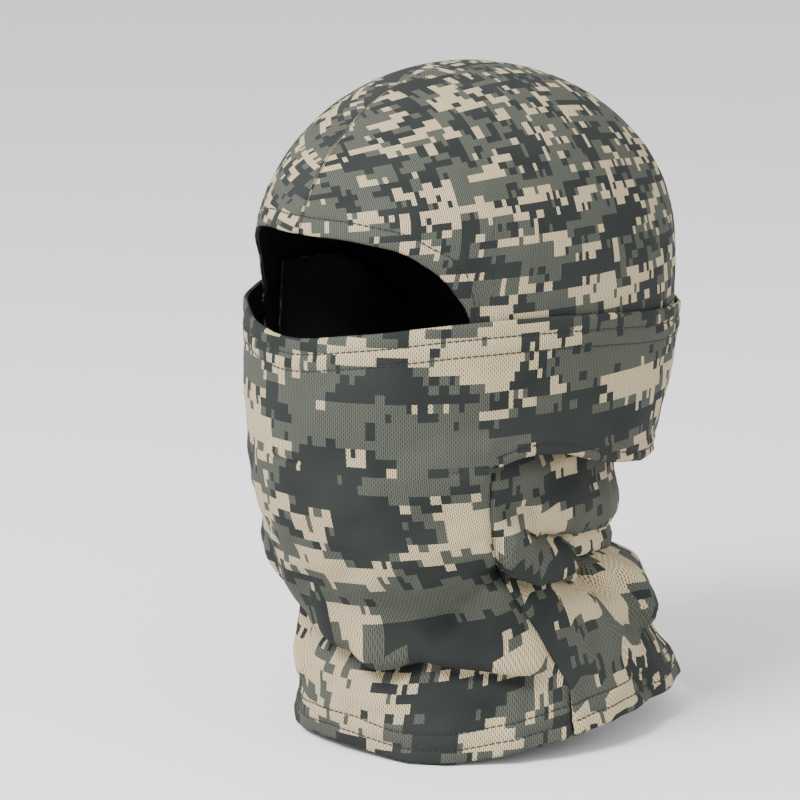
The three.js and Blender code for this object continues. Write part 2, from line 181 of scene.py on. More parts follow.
# %% The cut edges and the side seam
rim_drop = around_head([
    (0, RIM), (20, RIM - 4), (42, RIM - 8), (70, RIM - 8.5), (90, RIM - 6.5), (125, RIM - 1), (180, RIM + 3),
])
band_drop = around_head([
    (SEAM_ANGLE, SEAM_TOP), (66, SEAM_TOP - 3.5), (77, SEAM_TOP - 2.5),
    (93, SEAM_TOP + 4), (115, SEAM_TOP + 10), (180, SEAM_TOP + 16),
])
hem_drop = around_head([
    (0, HEM - 2), (34, HEM + 1), (61, HEM - 5), (90, HEM - 10.5), (133, HEM - 11), (180, HEM - 9),
])
seam_angle = curve([
    (SEAM_TOP, SEAM_ANGLE), (SEAM_TOP + 30, SEAM_ANGLE), (210, 58), (222, 61.5),
    (242, 68), (256, 72.5), (HEM, 73.5),
])
SEAM_END = 73.5


# %% [markdown]
# ## Folds
# Knit that is longer than the neck it sits on gathers in rolls. A fold here is a short route over the
# form, given as (angle, drop) points, with a cross-section beside it. A *tuck* is a roll that
# hangs over a groove: the cloth above the route swells out and slides down, and the cloth below it is
# drawn in. A *crease* is a plain ridge or valley. Adding them all up moves each point of the sheets out
# and down, and the cloth on both sides of a seam folds alike. No cloth simulation is used.

# %% Distance beside a route
ROUND = 1.4  # millimetres of cloth for each degree round the neck


def beside(route, angle, drop):
    """How far below a route that runs towards +angle each place lies, how far along it, and its length."""
    place = np.stack([angle * ROUND, drop + 0 * angle], -1)
    nearest = np.full(place.shape[:-1], np.inf)
    side, along, run = np.zeros_like(nearest), np.zeros_like(nearest), 0.0
    stops = [np.array([a * ROUND, d]) for a, d in route]
    for start, end in zip(stops[:-1], stops[1:]):
        step = end - start
        length = np.linalg.norm(step)
        t = np.clip(((place - start) @ step) / length**2, 0, 1)
        gap = place - start - t[..., None] * step
        distance = np.linalg.norm(gap, axis=-1)
        sign = np.where(step[0] * gap[..., 1] - step[1] * gap[..., 0] >= 0, 1, -1)
        closer = distance < nearest
        nearest = np.where(closer, distance, nearest)
        side = np.where(closer, sign * distance, side)
        along = np.where(closer, run + t * length, along)
        run += length
    return side, along, run


def hump(x, before, after):
    """1 at x = 0, falling away over one width before it and another after it."""
    return np.exp(-(x / np.where(x < 0, before, after)) ** 2)


def tuck(route, lip, above, recess, below, hang, fade=(9, 9)):
    def move(angle, drop):
        side, along, run = beside(route, angle, drop)
        left = ramp(along, 0, fade[0]) if fade[0] else 1.0
        strength = left * (1 - ramp(along, run - fade[1], run) if fade[1] else 1.0)
        out = lip * hump(side + 3, above, 4) - recess * hump(side - 6, 4, below)
        return strength * out, strength * hang * hump(side, 4.2, 4.2)

    return move


def crease(route, height, above, below, fade=(6, 6)):
    def move(angle, drop):
        side, along, run = beside(route, angle, drop)
        strength = ramp(along, -0.01, fade[0]) * (1 - ramp(along, run - fade[1], run + 0.01))
        return strength * height * hump(side, above, below), 0.0

    return move


# %% The folds on the wearer's left side
# Routes are given in steps of five degrees and five millimetres.
LEFT_FOLDS = [
    # rolls of the neck skirt behind the side seam, from the band down
    tuck([(65, 180), (95, 185), (140, 190), (180, 190)], 5.5, 11, 4.0, 4, 7.0, (12, 0)),
    tuck([(55, 190), (70, 200), (95, 205)], 6.5, 8, 8.0, 7, 8.5, (5, 5)),
    crease([(55, 170), (85, 185)], -2.8, 3, 4),
    crease([(55, 180), (70, 190)], 2.2, 3, 4),
    tuck([(90, 195), (140, 200), (180, 205)], 6.5, 5, 6.5, 6, 7.0, (5, 0)),
    tuck([(90, 205), (105, 205)], 3.0, 5, 7.0, 7, 4.0, (4, 5)),
    crease([(100, 210), (105, 225)], -7.0, 5, 6),
    crease([(110, 205), (120, 220), (115, 235)], 4.5, 7, 8),
    crease([(110, 210), (180, 220)], 6.0, 10, 12, (9, 0)),
    tuck([(110, 235), (180, 240)], 3.5, 10, 3.0, 9, 3.0, (10, 0)),
    # sharp drag lines from the end of the lowest roll
    crease([(65, 195), (80, 220)], 2.6, 2.2, 4.5),
    crease([(85, 210), (85, 235)], -1.6, 5, 6),
    crease([(95, 230), (110, 250)], 1.6, 4, 5),
    # the cover hangs over under the chin
    tuck([(-60, 205), (-30, 210), (-10, 225), (0, 230), (30, 235)], 6.0, 11, 8.0, 9, 8.0, (10, 26)),
    tuck([(5, 230), (35, 235), (60, 240), (70, 240)], 3.2, 9, 5.0, 6, 4.5, (20, 12)),
    crease([(-5, 235), (15, 240)], 3.2, 3.5, 4),
    crease([(-35, 220), (-35, 240), (-20, 260)], 3.4, 6, 4),
    crease([(-25, 225), (-25, 240), (-15, 255)], -3.0, 4, 5),
    crease([(35, 240), (70, 245)], 1.5, 3, 4),
    # drag lines that run from the side seam towards the jaw
    crease([(55, 175), (30, 195), (10, 210)], 1.3, 6, 6),
    crease([(55, 185), (30, 210)], 3.0, 6, 4.5),
    crease([(55, 195), (40, 210), (30, 230)], -5.0, 5, 9),
    crease([(60, 205), (45, 230)], 2.6, 4, 7),
    crease([(55, 155), (20, 175)], 0.9, 5, 6),
    # soft hollows of the cheek, and a drag line from the nose to the ear
    crease([(10, 115), (45, 125), (65, 125)], 0.9, 7, 9, (12, 14)),
    crease([(50, 145), (85, 140)], 1.2, 5, 7),
    crease([(90, 120), (110, 145)], -1.2, 7, 7),
    crease([(50, 130), (10, 160)], -1.0, 12, 12),
    crease([(50, 150), (20, 160)], 0.9, 9, 9),
    # waves above the neck hem
    crease([(15, 250), (25, 280)], 1.6, 10, 10, (8, 0)),
    crease([(45, 255), (45, 280)], -1.3, 9, 9, (8, 0)),
    crease([(85, 245), (90, 270)], 1.5, 9, 9, (8, 0)),
    crease([(105, 250), (110, 270)], -1.6, 9, 9, (8, 0)),
    crease([(140, 250), (140, 270)], 1.6, 10, 10, (8, 0)),
]
print(len(LEFT_FOLDS), "folds on each side")

# %% The same folds on the other side, a little weaker and shifted
RIGHT_FOLDS = [
    crease([(-55, 175), (-30, 200)], 1.8, 6, 6),
    crease([(-55, 190), (-35, 210)], -2.6, 6, 8),
    crease([(-50, 130), (-15, 160)], -0.8, 12, 12),
]


def fold_move(angle, drop):
    """How far the cloth moves out and down at each place."""
    angle, drop = np.broadcast_arrays(np.asarray(angle, float), np.asarray(drop, float))
    left = ramp(angle, -82, -52)
    strength = mix(0.8, 1.0, ramp(-angle, 90, 150)) * (1 - left)
    shift = 3 * ramp(-angle, 0, 40) * (1 - ramp(-angle, 120, 170))
    out, down = np.zeros(angle.shape), np.zeros(angle.shape)
    for fold in LEFT_FOLDS:
        for share, move in ((left, fold(angle, drop)), (strength, fold(-angle, drop - shift))):
            out += share * move[0]
            down += share * move[1]
    for fold in RIGHT_FOLDS:
        out += fold(angle, drop)[0]
    return out, down


# %% [markdown]
# ## Slight unevenness
# Thin knit is never quite smooth: it waves a little over the head, and puckers where a needle has gone
# through it. Many small waves, and short ripples beside the stitch lines, keep it from looking moulded.

# %% Waves and ripples
chance = np.random.RandomState(7)
WAVES = [
    (chance.uniform(0.12, 0.55), chance.uniform(0, 2 * math.pi), chance.uniform(0, 2 * math.pi))
    for _ in range(14)
]


def unevenness(angle, drop):
    """Small waves, taller on the loose neck than on the face."""
    total = 0.0
    for steepness, heading, phase in WAVES:
        along = angle * ROUND * math.cos(heading) + drop * math.sin(heading)
        total = total + np.sin(steepness * along + phase) / (1 + 6 * steepness)
    loose = 0.20 + 0.45 * ramp(drop, 140, 215) - 0.3 * ramp(drop, 250, 270)
    return loose * total


def hem(distance, depth, lines, angle):
    """The outward shape of a turned hem, from the distance to its edge, puffed between its stitches."""
    inside = ramp(distance, -0.1, 0.6)
    shape = 0.5 * inside * (1 - ramp(distance, depth - 0.4, depth + 0.6))
    shape -= 0.7 * (1 - ramp(distance, 0, 0.9))
    ripple = 0.10 * np.sin(angle * 1.9) + 0.08 * np.sin(angle * 0.83 + 1)
    for line in lines:
        shape -= 0.5 * hump(distance - line, 0.8, 0.8)
        beside_line = hump(distance - line + 2.2, 1.6, 1.6) + hump(distance - line - 2.2, 1.6, 1.6)
        shape += (0.14 + ripple) * beside_line
    return shape


# %% [markdown]
# ## The three cloth surfaces
# The *cover* is the outer layer. The *skirt* is the part of the hood below the band, which lies in the
# same surface as the cover along the side seams and at the hem, and is pulled in under the band behind
# them. The *crown* is the rest of the hood, just inside the cover's rim. Each is a function of angle and
# drop, so stitches, plies and tapes can be laid on it exactly.

# %% Cover, skirt and crown surfaces
RIM_LINES, NECK_LINES, BAND_LINE, EYE_LINE = (6.5, 13.3), (6.0, 12.6), 4.5, 7.0


def seam_gap(angle, drop):
    """Distance in millimetres to the side seam, for places beside it."""
    below = ramp(drop, SEAM_TOP - 4, SEAM_TOP + 2)
    return (np.abs(angle) - seam_angle(drop)) * ROUND * below + 40 * (1 - below)


def cover_bulge(angle, drop):
    angle, drop = np.broadcast_arrays(np.asarray(angle, float), np.asarray(drop, float))
    bulge = hem(drop - rim_drop(np.abs(angle)), 14, RIM_LINES, angle)
    band = hem(band_drop(np.maximum(np.abs(angle), SEAM_ANGLE)) - drop, 8, (BAND_LINE,), angle)
    bulge += band * ramp(np.abs(angle), SEAM_ANGLE + 1, SEAM_ANGLE + 6)
    front = 1 - ramp(np.abs(angle), SEAM_END + 4, SEAM_END + 8)
    bulge += front * hem(hem_drop(np.abs(angle)) - drop, 14, NECK_LINES, angle) * ramp(drop, 240, 250)
    bulge -= 1.4 * hump(seam_gap(angle, drop), 1.6, 1.6)
    bulge -= 0.9 * hump(180 - np.abs(angle), 1.2, 1.2)
    return bulge


def cover(angle, drop, lift=0.0):
    out, down = fold_move(angle, drop)
    band = ramp(np.abs(angle), SEAM_ANGLE - 2, SEAM_ANGLE + 6)
    out, down = out * (1 - band * (drop < SEAM_TOP + 22)), down * (1 - band * (drop < SEAM_TOP + 22))
    out = out + cover_bulge(angle, drop) + unevenness(angle, drop) + lift
    return on_form(angle, drop + down, -out)


SKIRT_PULL = 15.0  # how far the skirt is drawn in under the band, behind the side seams
UNDER_BAND = 7.2


def skirt_inset(angle, drop):
    pull = SKIRT_PULL * (1 - ramp(drop, 196, 232))
    behind = np.abs(angle) - seam_angle(drop)
    tucked = UNDER_BAND * (1 - ramp(drop, SEAM_TOP - 6, SEAM_TOP + 8))
    return pull * ramp(behind, 1, 34) + tucked + 1.1 * ramp(behind, 0, 8)


def skirt(angle, drop, lift=0.0):
    out, down = fold_move(angle, drop)
    showing = ramp(drop, SEAM_TOP - 8, SEAM_TOP + 6)
    out, down = out * showing, down * showing
    out = out + hem(hem_drop(np.abs(angle)) - drop, 14, NECK_LINES, angle) * ramp(drop, 240, 250)
    out -= 1.2 * hump(seam_gap(angle, drop), 1.6, 1.6)
    out -= 1.2 * hump(180 - np.abs(angle), 1.2, 1.2)
    out = out + unevenness(angle, drop) + lift - skirt_inset(angle, drop)
    return on_form(angle, drop + down, -out)


eye_edge = curve([
    (0, BROW), (18, BROW + 1), (34, BROW + 8), (43, BROW + 20),
    (48, RIM - 7), (51, RIM + 16), (SEAM_ANGLE, SEAM_TOP),
])


def eye_stretch(angle):
    """Millimetres of drop for each millimetre in from the eye opening's edge, where it slants."""
    angle = np.abs(angle)
    slope = (eye_edge(angle + 0.5) - eye_edge(angle - 0.5)) / ROUND
    return np.minimum(np.hypot(1, slope), 2.2)


def crown(angle, drop, lift=0.0):
    angle, drop = np.broadcast_arrays(np.asarray(angle, float), np.asarray(drop, float))
    inset = 2.5 + 3.5 * ramp(drop, RIM, SEAM_TOP)
    edge = (eye_edge(np.abs(angle)) - drop) / eye_stretch(angle)
    out = 0.4 * (1 - ramp(edge, 10.5, 11.5)) - 0.5 * (1 - ramp(edge, 0, 0.8))
    out -= 0.4 * hump(edge - EYE_LINE, 0.8, 0.8)
    across = form_radius(angle, drop) * np.sin(np.radians(np.abs(angle)))
    out -= 1.3 * hump(across, 1.8, 1.8)
    out += 1.1 * unevenness(angle, drop) * ramp(drop, 4, 20) + lift
    dome = np.sqrt(np.clip(1 - (1 - np.minimum(drop, DOME) / DOME) ** 2, 0, 1))
    return on_form(angle, drop, inset * dome - out * np.maximum(dome, 0.3))


# %% [markdown]
# ## Weaving a sheet
# Every sheet of cloth is a grid of places on one surface, close enough together for its folds and hems.
# The print must run over the cloth, not over the head, so each point also keeps its place on the flat
# cloth: the true length round the form, and the drop.

# %% Length along the cloth
DROPS = np.arange(0, HEM + 12, 2.0)
ANGLES = np.arange(0, 181, 1.0)
rings = on_form(ANGLES[None, :], DROPS[:, None])
steps = np.linalg.norm(np.diff(rings, axis=1), axis=-1)
ARC = np.concatenate([np.zeros((len(DROPS), 1)), np.cumsum(steps, axis=1)], axis=1)
print("half way round at the brow:", round(float(ARC[52, -1]), 1), "mm")


def arc(angle, drop):
    """Length round the form from the middle of the face."""
    row = np.clip(drop / 2, 0, len(DROPS) - 1.001)
    column = np.clip(np.abs(angle), 0, 179.999)
    i, j = row.astype(int), column.astype(int)
    s, t = row - i, column - j
    upper = mix(ARC[i, j], ARC[i, j + 1], t)
    lower = mix(ARC[i + 1, j], ARC[i + 1, j + 1], t)
    return np.sign(angle) * mix(upper, lower, s)


def slant(angle, drop):
    """The neck's cloth is drawn up towards the side seams, and its print with it."""
    rise = 15 * np.clip(np.abs(angle) / 70, 0, 1.2) ** 1.5
    return rise * ramp(drop, 165, 212) * (1 - 0.7 * ramp(drop, 225, HEM))


def cover_cloth(angle, drop):
    return np.stack([arc(angle, drop), drop + slant(angle, drop)], -1)


def hood_cloth(angle, drop):
    """The hood's panels are cut flat from the side, so their print spreads out from over the ear."""
    side = np.where(angle < 0, -1.0, 1.0)
    up = np.clip(1 - drop / DOME, 0, 1)
    ring = np.sqrt(1 - up**2)
    turn = np.radians(np.abs(angle))
    outward, back = ring * np.sin(turn), -ring * np.cos(turn)
    from_ear = np.arccos(np.clip(outward, -1, 1))
    spread = 92 * from_ear / np.maximum(np.sin(from_ear), 1e-3)
    low = arc(np.abs(angle), drop) - arc(np.full_like(drop, 90.0), drop)
    share = ramp(drop, DOME - 30, DOME + 10)
    u = mix(spread * back, low, share)
    v = np.where(drop < DOME, DOME - spread * up, drop + slant(angle, drop))
    return np.stack([side * (u + 140), v], -1)


# %% [markdown]
# ## The finish of the cloth
# The knit is printed on one side in three colours, in small squares that gather into large patches. The
# other side is painted near black as shade, for the shadow inside the mask. The print here is made of
# chance and of a few coarse patches, which say where a colour gathers on the wearer's left. The knit's
# fine holes show as short upright dashes, deeper on the light colours.

# %% A small way to write shader sums
MATERIALS = {}


class Wire:
    """The value of a node's output. Sums with it make new nodes."""

    def __init__(self, tree, output):
        self.tree, self.output = tree, output

    def node(self, kind, inputs, result=0, **settings):
        made = self.tree.nodes.new(kind)
        for key, value in settings.items():
            setattr(made, key, value)
        for key, value in inputs.items():
            if isinstance(value, Wire):
                self.tree.links.new(value.output, made.inputs[key])
            else:
                made.inputs[key].default_value = value
        return Wire(self.tree, made.outputs[result])

    def math(self, operation, *values):
        return self.node("ShaderNodeMath", dict(enumerate(values)), operation=operation)

    def vector(self, operation, *values, result=0):
        return self.node("ShaderNodeVectorMath", dict(enumerate(values)), result, operation=operation)

    def blend(self, share, first, second):
        return self.node("ShaderNodeMix", {0: share, 6: first, 7: second}, 2, data_type="RGBA")

    def __add__(self, other):
        return self.math("ADD", self, other)

    def __radd__(self, other):
        return self.math("ADD", other, self)

    def __sub__(self, other):
        return self.math("SUBTRACT", self, other)

    def __rsub__(self, other):
        return self.math("SUBTRACT", other, self)

    def __mul__(self, other):
        return self.math("MULTIPLY", self, other)

    def __rmul__(self, other):
        return self.math("MULTIPLY", other, self)

    def __truediv__(self, other):
        return self.math("DIVIDE", self, other)

    def above(self, limit):
        return self.math("GREATER_THAN", self, limit)

    def floor(self):
        return self.math("FLOOR", self)

    def size(self):
        return self.math("ABSOLUTE", self)


def new_material(name, roughness):
    material = bpy.data.materials.new(name)
    material.use_nodes = True
    tree = material.node_tree
    shader = tree.nodes["Principled BSDF"]
    shader.inputs["Roughness"].default_value = roughness
    MATERIALS[name] = material
    start = Wire(tree, None)
    return start, shader


def join(wire, shader, socket):
    wire.tree.links.new(wire.output, shader.inputs[socket])


def bump(shader, height, strength, distance):
    inputs = {"Strength": strength, "Distance": distance, "Height": height}
    join(height.node("ShaderNodeBump", inputs, "Normal"), shader, "Normal")


def shade(hex_colour):
    """A colour written as it looks on a screen, as the light it gives back."""
    parts = [int(hex_colour[i : i + 2], 16) / 255 for i in (0, 2, 4)]
    return (*[p / 12.92 if p < 0.04 else ((p + 0.055) / 1.055) ** 2.4 for p in parts], 1)


# %% Patches of the print
# Each patch is (angle, drop, half its angle, half its height), given in steps of five. They only
# say roughly where a colour gathers; chance draws the rest.
SAND_PATCHES = [
    (20, 105, 10, 5), (50, 110, 15, 10), (110, 130, 15, 10), (-20, 140, 10, 10), (-20, 180, 10, 10),
    (10, 200, 20, 5), (50, 180, 10, 10), (10, 220, 10, 5), (60, 230, 10, 10), (10, 260, 20, 10),
    (-20, 250, 10, 10), (50, 270, 10, 5),
]
GREEN_PATCHES = [
    (10, 130, 10, 15), (40, 140, 15, 10), (30, 160, 10, 5), (30, 210, 20, 10), (100, 110, 20, 10),
    (-20, 120, 10, 5),
]
DARK_PATCHES = [
    (30, 120, 20, 5), (90, 140, 30, 10), (10, 160, 10, 10), (20, 180, 10, 10), (-30, 160, 10, 10),
    (40, 230, 20, 10), (30, 260, 20, 10),
]
NECK_SAND = [(80, 180, 10, 5), (100, 190, 10, 5), (90, 220, 20, 10), (120, 210, 10, 10), (80, 270, 20, 5)]
NECK_GREEN = [(70, 190, 10, 5), (100, 240, 20, 5), (130, 180, 20, 10)]
NECK_DARK = [(90, 170, 20, 5), (80, 200, 20, 5), (70, 230, 10, 15)]


def on_cloth(patches, cloth):
    """The patches' places and half sizes on the flat cloth."""
    angle, drop, wide, high = np.array(patches, float).T
    centre = cloth(angle, drop)
    edge = cloth(angle + wide, drop)
    return [(tuple(c), (abs(e[0] - c[0]), h)) for c, e, h in zip(centre, edge, high)]


# %% The printed knit
CELL = (4.2, 3.8)
HOLE = (0.86, 1.90)


def mounds(start, spot, patches):
    """A soft mound, up to 1.2 high, over each patch."""
    total = start
    for (u, v), (wide, high) in patches:
        near = spot.vector("SUBTRACT", spot, (u, v, 0))
        scaled = spot.vector("DIVIDE", near, (wide, high, 1))
        distance = spot.vector("LENGTH", scaled, result="Value")
        height = spot.node("ShaderNodeClamp", {0: 2.0 - 1.45 * distance, 1: 0.0, 2: 1.2})
        total = total + height
    return total


def snapped(place, cell):
    """The middle of the square of cloth that a place is in."""
    number = place.vector("FLOOR", place.vector("DIVIDE", place, (*cell, 1)))
    return place.vector("MULTIPLY_ADD", number, (*cell, 1), (cell[0] / 2, cell[1] / 2, 0))


def chance_field(spot, wide, high, seed):
    scaled = spot.vector("DIVIDE", spot, (wide, high, 1))
    moved = spot.vector("ADD", scaled, (seed, 3.7 * seed, 0))
    return spot.node("ShaderNodeTexNoise", {"Vector": moved, "Scale": 1.0, "Detail": 1.0}, "Fac") - 0.5


def speckle(spot, seed):
    moved = spot.vector("ADD", spot, (seed, seed, 0))
    return spot.node("ShaderNodeTexWhiteNoise", {"Vector": moved}, "Value") - 0.5


def knit_holes(place):
    """1 in the knit's fine upright holes and 0 between them, every other column half a hole lower."""
    counted = place.vector("DIVIDE", place, (*HOLE, 1))
    apart = place.node("ShaderNodeSeparateXYZ", {"Vector": counted}, "X")
    down = place.node("ShaderNodeSeparateXYZ", {"Vector": counted}, "Y")
    column = apart.floor()
    across = (apart - column - 0.5).size()
    lower = down + column * 0.5
    level = (lower - lower.floor() - 0.5).size()
    return place.node("ShaderNodeClamp", {0: (0.40 - across * 1.0 - level * 0.55) * 6.0, 1: 0.0, 2: 1.0})


SLATE, FOLIAGE, SAND = shade("242827"), shade("4e5148"), shade("c0af8c")


def printed_knit(name, sand, green, dark, seed):
    start, shader = new_material(name, 0.85)
    place = start.node("ShaderNodeAttribute", {}, "Vector", attribute_name="cloth_place")
    spot = snapped(place, CELL)
    sliver = snapped(place, (CELL[0] / 2, CELL[1]))
    ragged = 0.5 * speckle(spot, seed) + 0.34 * speckle(sliver, seed + 5)
    light = mounds(ragged, spot, sand)
    leafy = mounds(0.45 * speckle(spot, seed + 9), spot, green)
    deep = mounds(0.5 * speckle(spot, seed + 2) + 0.3 * speckle(sliver, seed + 3), spot, dark)
    sand_field = 3.5 * chance_field(spot, 28, 15, seed) + 3.1 * chance_field(spot, 9, 7, seed + 1)
    dark_field = 3.5 * chance_field(spot, 32, 15, seed + 4) + 3.1 * chance_field(spot, 10, 7, seed + 6)
    is_sand = (sand_field + light - 0.8 * leafy - 0.8 * deep).above(0.36)
    is_dark = (dark_field + deep - 0.8 * light - 0.8 * leafy).above(0.02)
    colour = start.blend(is_sand, start.blend(is_dark, FOLIAGE, SLATE), SAND)
    holes = knit_holes(place)
    depth = 0.80 - 0.35 * is_dark * (1 - is_sand)
    colour = start.blend(holes * depth, colour, shade("1b1e1e"))
    wear = chance_field(place, 60, 60, seed + 12) * 0.2
    colour = start.blend(wear.size(), colour, shade("77796e"))
    join(colour, shader, "Base Color")
    bump(shader, 1 - holes, 0.35, 0.00025)
    shader.inputs["Specular IOR Level"].default_value = 0.18
    print(name, len(shader.id_data.nodes), "nodes")


# %% The unprinted side, painted near black as shade, the threads and the label
def knit_inside():
    start, shader = new_material("knit_inside", 0.85)
    place = start.node("ShaderNodeAttribute", {}, "Vector", attribute_name="cloth_place")
    holes = knit_holes(place)
    # Both colours are painted shade: the unprinted side is given near black to stand for the shadow inside
    # the mask.
    join(start.blend(holes * 0.7, shade("1d2021"), shade("0d0e0f")), shader, "Base Color")
    bump(shader, 1 - holes, 0.4, 0.0002)


def thread(name, colour, pale):
    """Polyester thread, flecked with a paler tone by fine noise."""
    start, shader = new_material(name, 0.6)
    here = start.node("ShaderNodeTexCoord", {}, "Object")
    fleck = start.node("ShaderNodeTexNoise", {"Vector": here, "Scale": 900.0, "Detail": 2.0}, "Fac")
    join(start.blend(fleck, shade(colour), shade(pale)), shader, "Base Color")


def label_satin():
    start, shader = new_material("label_satin", 0.38)
    here = start.node("ShaderNodeTexCoord", {}, "Object")
    grain = start.node("ShaderNodeTexWave", {"Vector": here, "Scale": 900.0, "Distortion": 0.4}, "Fac")
    join(start.blend(grain, shade("d8d6cc"), shade("c6c4ba")), shader, "Base Color")
    bump(shader, grain, 0.25, 0.0001)


printed_knit(
    "printed_cover", on_cloth(SAND_PATCHES, cover_cloth), on_cloth(GREEN_PATCHES, cover_cloth),
    on_cloth(DARK_PATCHES, cover_cloth), 4.0,
)
printed_knit(
    "printed_hood", on_cloth(NECK_SAND, hood_cloth), on_cloth(NECK_GREEN, hood_cloth),
    on_cloth(NECK_DARK, hood_cloth), 11.0,
)
knit_inside()
thread("sewing_thread", "0a0b0b", "1c1f1f")
thread("overlock_thread", "303537", "4d5355")
label_satin()


# %% Sheets from grids
def rows(length, fine, step=1.6):
    """Distances down a sheet, with extra rows beside the edges and stitch lines named in fine."""
    places = list(np.linspace(0, length, max(2, int(round(length / step))) + 1))
    for line in fine:
        places = [p for p in places if abs(p - line) > 1.0 or p in (0, length)]
        places += [p for p in (line - 0.8, line, line + 0.8) if 0 <= p <= length]
    return np.array(sorted(set(np.round(places, 3))))


def between(top, bottom, down, top_margin=0.0, bottom_margin=0.0):
    """Drops from top to bottom at nominal distances, keeping both margins at their true depth."""
    length = down[-1]
    middle = length - top_margin - bottom_margin
    scale = (bottom - top - top_margin - bottom_margin) / middle
    first = np.minimum(down, top_margin)[:, None]
    second = np.clip(down - top_margin, 0, middle)[:, None] * scale[None, :]
    third = np.maximum(down - (length - bottom_margin), 0)[:, None]
    return top[None, :] + first + second + third


def quads(index):
    corners = np.stack([index[:-1, :-1], index[1:, :-1], index[1:, 1:], index[:-1, 1:]], -1)
    return corners.reshape(-1, 4)


def weave(name, points, cloth, faces, nodes, thickness, finish):
    """A sheet of cloth from its outer face. Points are in millimetres, cloth gives their places on it."""
    mesh = bpy.data.meshes.new(name)
    mesh.from_pydata((points * MM).tolist(), [], faces.tolist())
    mesh.update()
    place = mesh.attributes.new("cloth_place", "FLOAT2", "POINT")
    place.data.foreach_set("vector", cloth.astype(np.float32).ravel())
    return dress(name, mesh, nodes, thickness, finish)


def dress(name, mesh, nodes, thickness, finish):
    piece = bpy.data.objects.new(name, mesh)
    bpy.context.scene.collection.objects.link(piece)
    for material in finish:
        mesh.materials.append(MATERIALS[material])
    thick = piece.modifiers.new("thickness", "SOLIDIFY")
    thick.thickness = thickness * MM
    thick.offset = -1
    thick.use_rim = True
    thick.material_offset = len(finish) - 1
    settled = bpy.data.meshes.new_from_object(piece.evaluated_get(bpy.context.evaluated_depsgraph_get()))
    piece.modifiers.clear()
    piece.data = settled
    settled.name = name
    settled.shade_smooth()
    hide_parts(*nodes)
    print(name, len(settled.polygons), "faces")
    return piece


def follow_cover(piece):
    """Bakes the piece's placement into its points, leaving it at the origin."""
    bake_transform(piece)
    return piece


def attach(piece, moving):
    """Cloth and thread on the crown are parented to the hood's body, and the rest has its placement baked
    in.
    """
    if moving:
        return follow_cover(piece)
    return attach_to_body(piece, "hood")


# %% [markdown]
# ## The face cover
# One piece of knit covers the face from the nose to the neck, and its two wings run round the head and
# meet at the back. It is woven as one grid for the band and one for the part below it, sharing the row
# at the band's lower edge, so the cloth is unbroken where the cover spreads into the wings.

# %% Face cover
BAND = 60.0  # nominal height of the band, for spacing its rows
NECK = HEM - SEAM_TOP
wing_angles = np.linspace(SEAM_ANGLE, 180, 118)
shares = np.linspace(-1, 1, 125)
band_columns = np.concatenate([-wing_angles[:0:-1], shares * SEAM_ANGLE, wing_angles[1:]])
band_down = rows(BAND, [*RIM_LINES, 0.8, 14, BAND - BAND_LINE, BAND - 8])
neck_down = rows(NECK, [NECK - line for line in (*NECK_LINES, 14, 0.8)])


def band_places():
    bottom = band_drop(np.maximum(np.abs(band_columns), SEAM_ANGLE))
    drop = between(rim_drop(np.abs(band_columns)), bottom, band_down, 16, 8)
    return np.broadcast_to(band_columns, drop.shape), drop


def neck_places(columns):
    """Rows below the band over the given angles, one list of angles for each row."""
    drop = np.stack([
        between(np.full(len(row), SEAM_TOP), hem_drop(np.abs(row)), neck_down, 0, 16)[i]
        for i, row in enumerate(columns)
    ])
    return columns, drop


stop_angle = seam_angle(SEAM_TOP + neck_down)  # the side seam's place in each row below the band
band_angle, band_rows = band_places()
neck_angle, neck_rows = neck_places(stop_angle[:, None] * shares[None, :])
upper = np.arange(band_angle.size).reshape(band_angle.shape)
lower = band_angle.size + np.arange(neck_angle[1:].size).reshape(neck_angle[1:].shape)
first = len(wing_angles) - 1  # the column where the right wing ends and the face begins
joined = np.vstack([upper[-1, first:first + len(shares)], lower])
angle = np.concatenate([band_angle.ravel(), neck_angle[1:].ravel()])
drop = np.concatenate([band_rows.ravel(), neck_rows[1:].ravel()])
face_cover = weave(
    "face_cover", cover(angle, drop), cover_cloth(angle, drop), np.vstack([quads(upper), quads(joined)]),
    ["face_panel"], 0.7, ["printed_cover", "knit_inside"],
)
follow_cover(face_cover)

# %% [markdown]
# ## The hood
# Each half of the hood is cut in one piece, from the seam over the crown to the neck hem. It is woven in
# two parts that overlap under the band: the crown is parented to the hood's body, and the neck skirt below
# it has its placement baked in.

# %% Crown and skirt, left and right
HEAD_ROUND = 1.7  # millimetres of cloth for each degree round the head
OVER_DOME = 122  # millimetres of cloth from the crown down to where the head stops widening


def eye_columns():
    """Angles closer together where the eye opening's edge is steep."""
    fine = np.linspace(0, SEAM_ANGLE, 400)
    edge = eye_edge(fine)
    run = np.concatenate([[0], np.cumsum(np.hypot(np.diff(fine) * HEAD_ROUND, np.diff(edge)))])
    over_eye = np.interp(np.linspace(0, run[-1], 84), run, fine)
    return np.concatenate([over_eye, np.linspace(SEAM_ANGLE, 180, 104)[1:]])


CROWN_END = SEAM_TOP - 6
crown_columns = eye_columns()
crown_foot = np.where(crown_columns < SEAM_ANGLE, np.minimum(eye_edge(crown_columns), CROWN_END), CROWN_END)
skirt_shares = np.linspace(0, 1, 104)
EYE_ROWS = np.array([12, 10.8, 9, 7.8, 7, 6.2, 4.5, 2, 0.8, 0])


